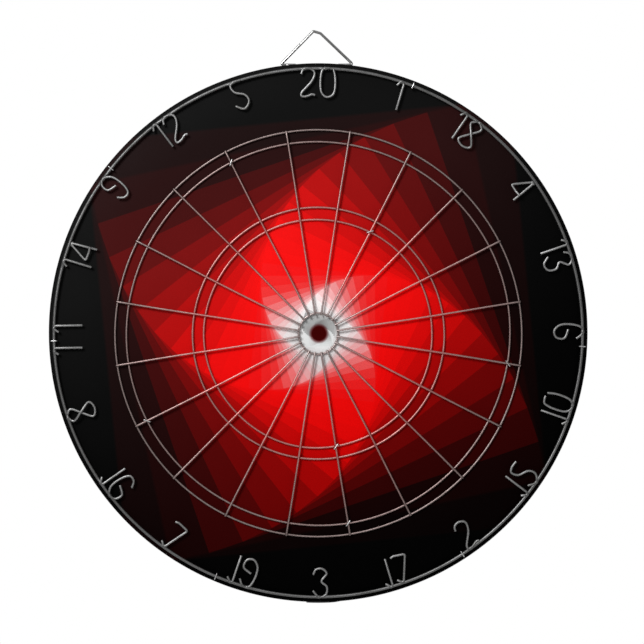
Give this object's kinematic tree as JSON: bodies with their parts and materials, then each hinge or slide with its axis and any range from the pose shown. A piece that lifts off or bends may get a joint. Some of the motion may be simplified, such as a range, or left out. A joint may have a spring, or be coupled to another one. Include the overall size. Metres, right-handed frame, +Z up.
{
  "type": "wire-cage dartboard",
  "caption": "Round wall-hung dartboard: wound fibre core, printed face, stapled wire spider, ring of wire numerals, black edge band and a swinging wire bail.",
  "frame": {"origin": "middle of the back face, on the wall plane", "axes": "+Z up to the hanger, -Y out of the printed face towards the player, +X to the player's right"},
  "size_m": [0.4508, 0.0329, 0.4831],
  "materials": {
    "wound_fibre": "wound brown fibre strip, matt, seen only at the rim",
    "printed_face": "satin print: turned squares from charcoal through red to white",
    "back_paper": "plain matt brown sheet",
    "black_band": "satin black, lightly scuffed",
    "tack_steel": "plain bright steel",
    "spider_wire": "drawn grey steel wire, satin",
    "number_wire": "drawn grey steel wire, satin",
    "staple_steel": "plain bright steel",
    "bail_steel": "bright plated wire",
    "eye_steel": "bright plated strap"
  },
  "bodies": {
    "board": {"wound_core": "wound_fibre", "face_sheet": "printed_face", "back_sheet": "back_paper", "edge_band": "black_band", "band_tack_front": "tack_steel", "band_tack_back": "tack_steel", "double_outer_ring": "spider_wire", "double_inner_ring": "spider_wire", "triple_outer_ring": "spider_wire", "triple_inner_ring": "spider_wire", "bull_ring": "spider_wire", "spoke_wire_01": "spider_wire", "spoke_wire_02": "spider_wire", "spoke_wire_03": "spider_wire", "spoke_wire_04": "spider_wire", "spoke_wire_05": "spider_wire", "spoke_wire_06": "spider_wire", "spoke_wire_07": "spider_wire", "spoke_wire_08": "spider_wire", "spoke_wire_09": "spider_wire", "spoke_wire_10": "spider_wire", "spoke_wire_11": "spider_wire", "spoke_wire_12": "spider_wire", "spoke_wire_13": "spider_wire", "spoke_wire_14": "spider_wire", "spoke_wire_15": "spider_wire", "spoke_wire_16": "spider_wire", "spoke_wire_17": "spider_wire", "spoke_wire_18": "spider_wire", "spoke_wire_19": "spider_wire", "spoke_wire_20": "spider_wire", "number_ring": "number_wire", "number_ring_staple_1": "staple_steel", "number_ring_staple_2": "staple_steel", "number_ring_staple_3": "staple_steel", "number_ring_staple_4": "staple_steel", "number_ring_staple_5": "staple_steel", "number_ring_staple_6": "staple_steel", "spider_staple_1": "staple_steel", "spider_staple_2": "staple_steel", "spider_staple_3": "staple_steel", "spider_staple_4": "staple_steel", "spider_staple_5": "staple_steel", "spider_staple_6": "staple_steel", "hanger_eye_left": "eye_steel", "hanger_eye_right": "eye_steel"},
    "bail": {"hanger_bail": "bail_steel"}
  },
  "joints": [
    {"name": "bail_swing", "type": "hinge", "parent": "board", "child": "bail", "pos_m": [0, -0.009, 0.2264], "axis": [1, 0, 0], "range_deg": [-90, 88]}
  ]
}
